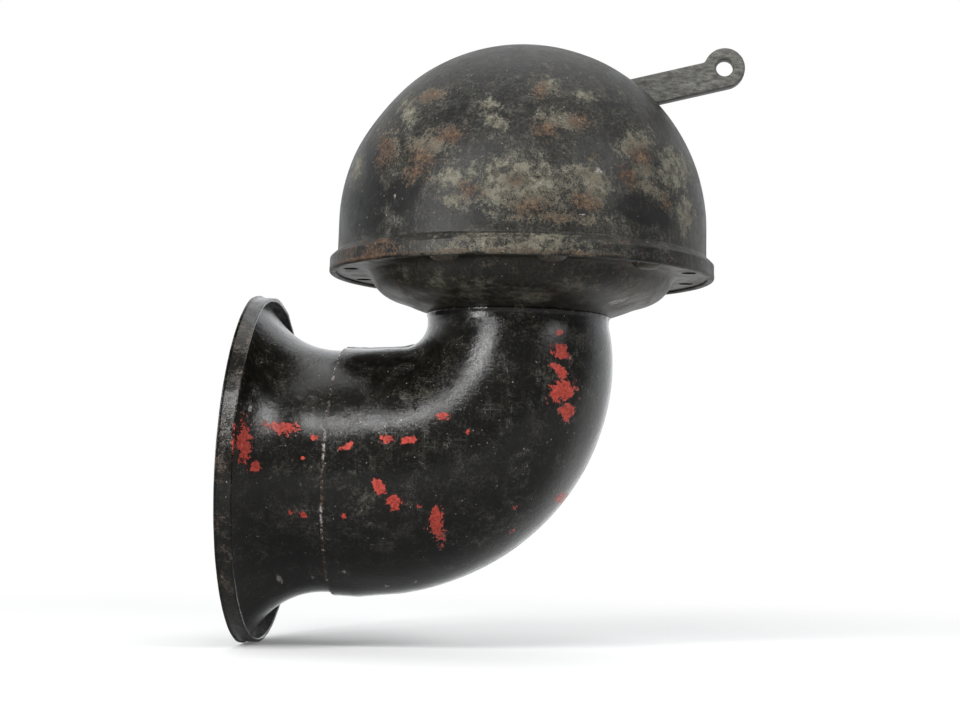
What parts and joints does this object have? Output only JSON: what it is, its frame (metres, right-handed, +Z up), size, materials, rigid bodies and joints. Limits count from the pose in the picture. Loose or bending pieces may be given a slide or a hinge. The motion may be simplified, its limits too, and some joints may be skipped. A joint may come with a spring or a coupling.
{
  "type": "lever-operated signal horn",
  "caption": "Lever-operated diaphragm signal horn: domed gear housing with a slotted lever, clamped flange, wide elbow and flared bell.",
  "frame": {"origin": "centre of the flange's lower face, on the dome's axis", "axes": "+Z up the dome's axis, bell mouth towards -X, lever towards +X; the shafts of the mechanism lie along Y"},
  "size_m": [0.2091, 0.165, 0.2588],
  "materials": {
    "dome_enamel": "aged semi-gloss black enamel, mottled with rust and tan stains",
    "pan_enamel": "aged black enamel with brown stains",
    "elbow_enamel": "glossy black enamel chipped to a red undercoat",
    "bell_enamel": "aged black enamel chipped to a red undercoat",
    "rivet_black": "black enamel, dull",
    "lever_iron": "forged, pitted, dark",
    "frame_steel": "dull rolled steel",
    "spring_steel": "blued spring steel",
    "hard_steel": "ground steel",
    "plated_steel": "dull plated steel",
    "gear_steel": "cut steel, oiled",
    "gear_brass": "tarnished brass",
    "bronze": "oiled bronze",
    "rotor_iron": "dark cast iron",
    "gasket_fibre": "brown fibre sheet"
  },
  "bodies": {
    "housing": {"dome_cover": "dome_enamel", "base_pan": "pan_enamel", "elbow": "elbow_enamel", "bell": "bell_enamel", "diaphragm": "spring_steel", "gasket_lower": "gasket_fibre", "gasket_upper": "gasket_fibre", "mount_ring": "frame_steel", "flange_screws": "rivet_black", "anvil_button": "hard_steel", "anvil_washer": "plated_steel", "anvil_nut": "plated_steel", "frame_plate_front": "frame_steel", "frame_plate_rear": "frame_steel", "frame_screws": "plated_steel", "frame_pillars": "frame_steel", "lever_rest_stop": "frame_steel", "lever_travel_stop": "frame_steel", "pillar_screws": "plated_steel", "lever_bush_front": "bronze", "lever_bush_rear": "bronze", "countershaft_bush_front": "bronze", "countershaft_bush_rear": "bronze", "rotor_bush_front": "bronze", "rotor_bush_rear": "bronze"},
    "lever": {"lever_arm": "lever_iron", "lever_shaft": "hard_steel", "lever_clips": "spring_steel", "sector_gear": "gear_steel", "sector_rivets": "plated_steel", "return_spring": "spring_steel"},
    "countershaft": {"countershaft": "hard_steel", "countershaft_clips": "spring_steel", "drive_pinion": "gear_steel", "spacer_collar": "bronze", "ratchet_wheel": "gear_steel"},
    "main_gear": {"main_gear": "gear_brass", "pawl_pin": "plated_steel", "pawl_spring": "spring_steel"},
    "pawl": {"pawl": "hard_steel"},
    "rotor": {"rotor_shaft": "hard_steel", "rotor_clips": "spring_steel", "rotor_pinion": "gear_steel", "rotor_wheel": "rotor_iron"}
  },
  "joints": [
    {"name": "lever_pull", "type": "hinge", "parent": "housing", "child": "lever", "pos_m": [0.02291, 0, 0.07384], "axis": [0, 1, 0], "range_deg": [0, 30], "stiffness_Nm_per_rad": 0.6, "springref_deg": -20.05, "deforming": ["return_spring"]},
    {"name": "countershaft_spin", "type": "hinge", "parent": "housing", "child": "countershaft", "pos_m": [-0.01377, 0, 0.04366], "axis": [0, 1, 0], "range_deg": [-160, 0]},
    {"name": "main_gear_spin", "type": "hinge", "parent": "housing", "child": "main_gear", "pos_m": [-0.01377, 0, 0.04366], "axis": [0, 1, 0], "range_deg": [-160, 0]},
    {"name": "pawl_lift", "type": "hinge", "parent": "main_gear", "child": "pawl", "pos_m": [-0.01838, 0, 0.05635], "axis": [0, -1, 0], "range_deg": [0, 14], "stiffness_Nm_per_rad": 0.01, "springref_deg": -17.19, "deforming": ["pawl_spring"]},
    {"name": "rotor_spin", "type": "hinge", "parent": "housing", "child": "rotor", "pos_m": [0, 0, 0.024], "axis": [0, 1, 0], "range_deg": [0, 608]}
  ],
  "couplings": [
    {"joint": "countershaft_spin", "follows": "lever_pull", "ratio": -5.3333},
    {"joint": "main_gear_spin", "follows": "lever_pull", "ratio": -5.3333},
    {"joint": "rotor_spin", "follows": "lever_pull", "ratio": 20.267}
  ]
}
